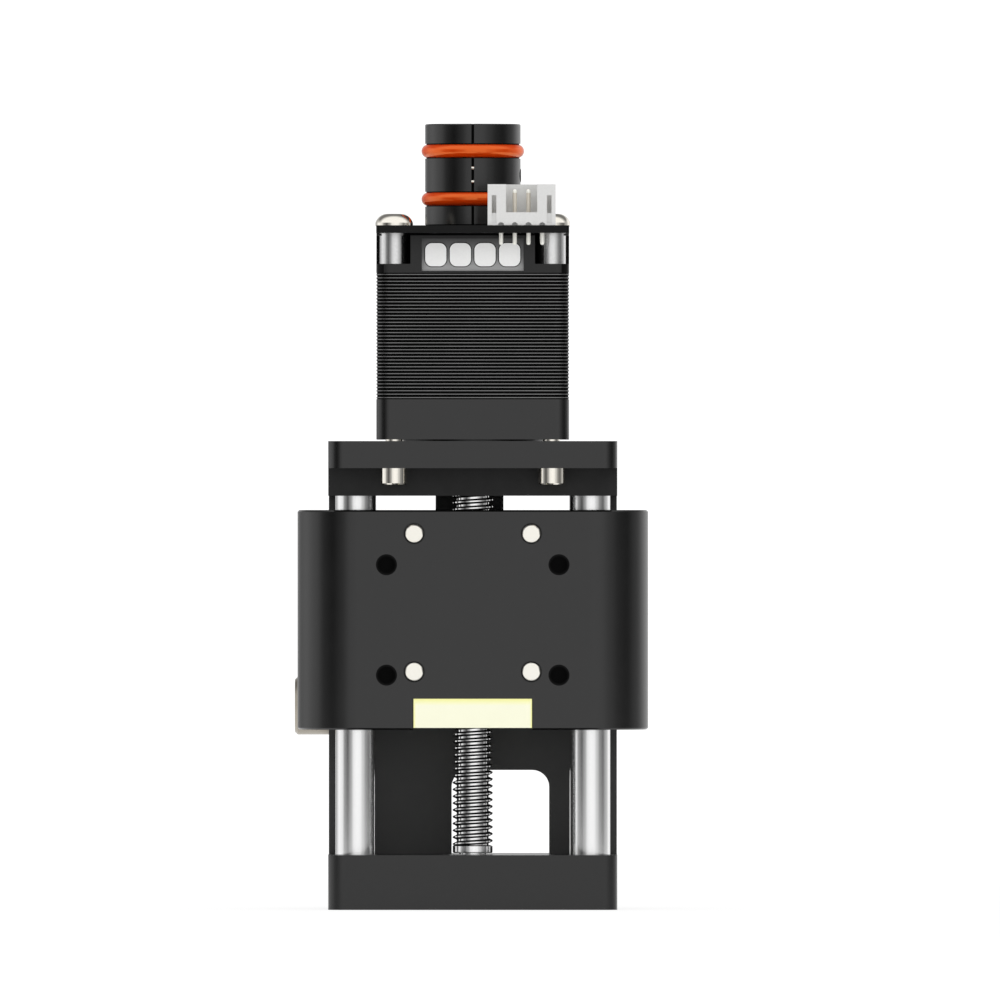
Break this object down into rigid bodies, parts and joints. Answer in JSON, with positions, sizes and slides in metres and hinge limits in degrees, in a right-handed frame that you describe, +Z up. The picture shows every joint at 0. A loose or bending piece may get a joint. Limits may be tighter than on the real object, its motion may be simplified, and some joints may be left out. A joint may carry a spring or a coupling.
{
  "type": "cnc z-axis module",
  "caption": "Small motorised Z slide: a stepper with a hand knob turns a lead screw that lifts a block along two guide rods in a black frame.",
  "frame": {"origin": "on the lead screw's axis, in the bottom plate's underside", "axes": "+Z up along the lead screw, +X to the right seen from the front, +Y back towards the back plate"},
  "size_m": [0.0518, 0.0382, 0.115],
  "materials": {
    "black_anodised": "fine black anodised, bead blasted",
    "ground_steel": "hardened, ground and polished",
    "nickel_screws": "warm nickel plate",
    "bearing_steel": "satin",
    "lamination_steel": "black, with bright sheet edges",
    "magnet": "sintered",
    "copper_wire": "enamelled copper",
    "board_laminate": "black solder mask",
    "white_plastic": "moulded nylon",
    "tinned_brass": "tin plate",
    "grey_plastic": "moulded",
    "orange_rubber": "glossy silicone",
    "cream_acetal": "machined acetal"
  },
  "bodies": {
    "frame": {"bottom_plate": "black_anodised", "back_plate": "black_anodised", "top_plate": "black_anodised", "motor_front_cap": "black_anodised", "motor_rear_cap": "black_anodised", "left_guide_rod": "ground_steel", "right_guide_rod": "ground_steel", "top_frame_screws": "nickel_screws", "bottom_frame_screws": "nickel_screws", "side_screw": "nickel_screws", "motor_mount_screws": "nickel_screws", "motor_long_screws": "nickel_screws", "board_spacers": "nickel_screws", "lower_bearing_outer": "bearing_steel", "front_bearing_outer": "bearing_steel", "rear_bearing_outer": "bearing_steel", "preload_washer": "bearing_steel", "motor_laminations": "lamination_steel", "motor_windings": "copper_wire", "connection_board": "board_laminate", "connector_housing": "white_plastic", "terminal_pads": "white_plastic", "connector_pins": "tinned_brass", "terminal_frame": "grey_plastic"},
    "screw": {"lead_screw": "ground_steel", "rotor_lower_cup": "lamination_steel", "rotor_magnet": "magnet", "rotor_upper_cup": "lamination_steel", "lower_bearing_inner": "bearing_steel", "front_bearing_inner": "bearing_steel", "rear_bearing_inner": "bearing_steel", "hand_knob": "black_anodised", "knob_set_screw": "ground_steel", "upper_grip_ring": "orange_rubber", "lower_grip_ring": "orange_rubber"},
    "slider": {"slide_block": "black_anodised", "left_slide_bearing": "bearing_steel", "right_slide_bearing": "bearing_steel", "bearing_circlips": "nickel_screws", "lead_nut": "cream_acetal", "nut_screws": "nickel_screws", "blanking_screws": "nickel_screws"}
  },
  "joints": [
    {"name": "screw_turn", "type": "hinge", "parent": "frame", "child": "screw", "pos_m": [0, 0, 0], "axis": [0, 0, 1], "range_deg": [-685, 6121]},
    {"name": "slider_slide", "type": "slide", "parent": "frame", "child": "slider", "axis": [0, 0, 1], "range_m": [-0.017, 0.0019]}
  ],
  "couplings": [
    {"joint": "screw_turn", "follows": "slider_slide", "rad_per_m": -6283.2}
  ]
}
